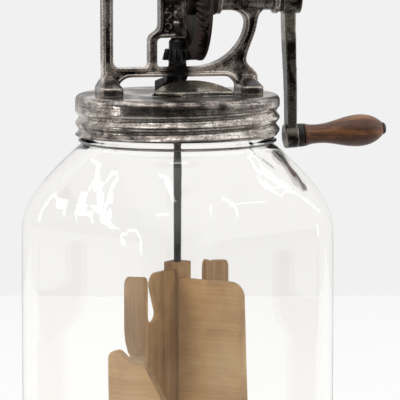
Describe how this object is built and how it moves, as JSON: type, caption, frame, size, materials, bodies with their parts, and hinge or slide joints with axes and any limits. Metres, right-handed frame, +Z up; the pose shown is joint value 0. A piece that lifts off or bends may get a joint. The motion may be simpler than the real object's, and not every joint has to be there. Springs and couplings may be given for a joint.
{
  "type": "butter churn",
  "caption": "Hand-cranked glass jar butter churn: square jar, screw lid with cast gear frame, bevel gears, crank with wooden grip, and wooden dasher.",
  "frame": {"origin": "centre of the jar's flat base, on the axis of the neck and the dasher rod", "axes": "+Z up along the dasher rod, +X along the crank shaft towards the grip, -Y towards the front with the pour flap"},
  "size_m": [0.2137, 0.1788, 0.335],
  "materials": {
    "glass": "clear pressed glass",
    "tin": "dull tarnished tin plate",
    "rubber": "matte",
    "iron": "worn plated casting",
    "black_iron": "greasy black",
    "steel": "dark drawn steel",
    "grip_wood": "stained and worn",
    "paddle_wood": "bare planed board"
  },
  "bodies": {
    "jar": {"glass_jar": "glass"},
    "seal": {"lid_gasket": "rubber"},
    "lid": {"screw_lid": "tin", "flap_hinge_lug": "tin", "flap_hinge_pin": "steel", "gear_frame": "iron", "frame_screws": "steel", "lid_bush": "steel", "thrust_washer": "steel"},
    "flap": {"pour_flap": "tin"},
    "crank": {"drive_gear": "iron", "gear_pin": "steel", "crank_shaft": "steel", "crank_washer": "steel", "crank_arm": "iron", "crank_pin": "steel", "handle_stud": "steel", "grip_collar": "black_iron"},
    "grip": {"wooden_grip": "grip_wood"},
    "dasher": {"pinion": "black_iron", "pinion_pin": "steel", "dasher_rod": "steel", "rod_pin": "steel", "dasher_post": "paddle_wood", "wide_paddles": "paddle_wood", "forked_paddles": "paddle_wood"}
  },
  "joints": [
    {"name": "lid_rise", "type": "slide", "parent": "jar", "child": "seal", "axis": [0, 0, 1], "range_m": [0, 0.0216]},
    {"name": "lid_turn", "type": "hinge", "parent": "seal", "child": "lid", "pos_m": [0, 0, 0.228], "axis": [0, 0, 1], "range_deg": [0, 1080]},
    {"name": "flap_hinge", "type": "hinge", "parent": "lid", "child": "flap", "pos_m": [0.0057, -0.02, 0.2325], "axis": [1, 0, 0], "range_deg": [-30, 60]},
    {"name": "crank_turn", "type": "hinge", "parent": "lid", "child": "crank", "pos_m": [0, 0, 0.2857], "axis": [1, 0, 0], "continuous": true},
    {"name": "grip_spin", "type": "hinge", "parent": "crank", "child": "grip", "pos_m": [0.06712, 0, 0.2052], "axis": [0.9981, 0, 0.061], "continuous": true},
    {"name": "dasher_spin", "type": "hinge", "parent": "lid", "child": "dasher", "pos_m": [0, 0, 0], "axis": [0, 0, 1], "continuous": true}
  ],
  "couplings": [
    {"joint": "lid_rise", "follows": "lid_turn", "m_per_rad": 0.0011459},
    {"joint": "dasher_spin", "follows": "crank_turn", "ratio": 4.6154}
  ]
}
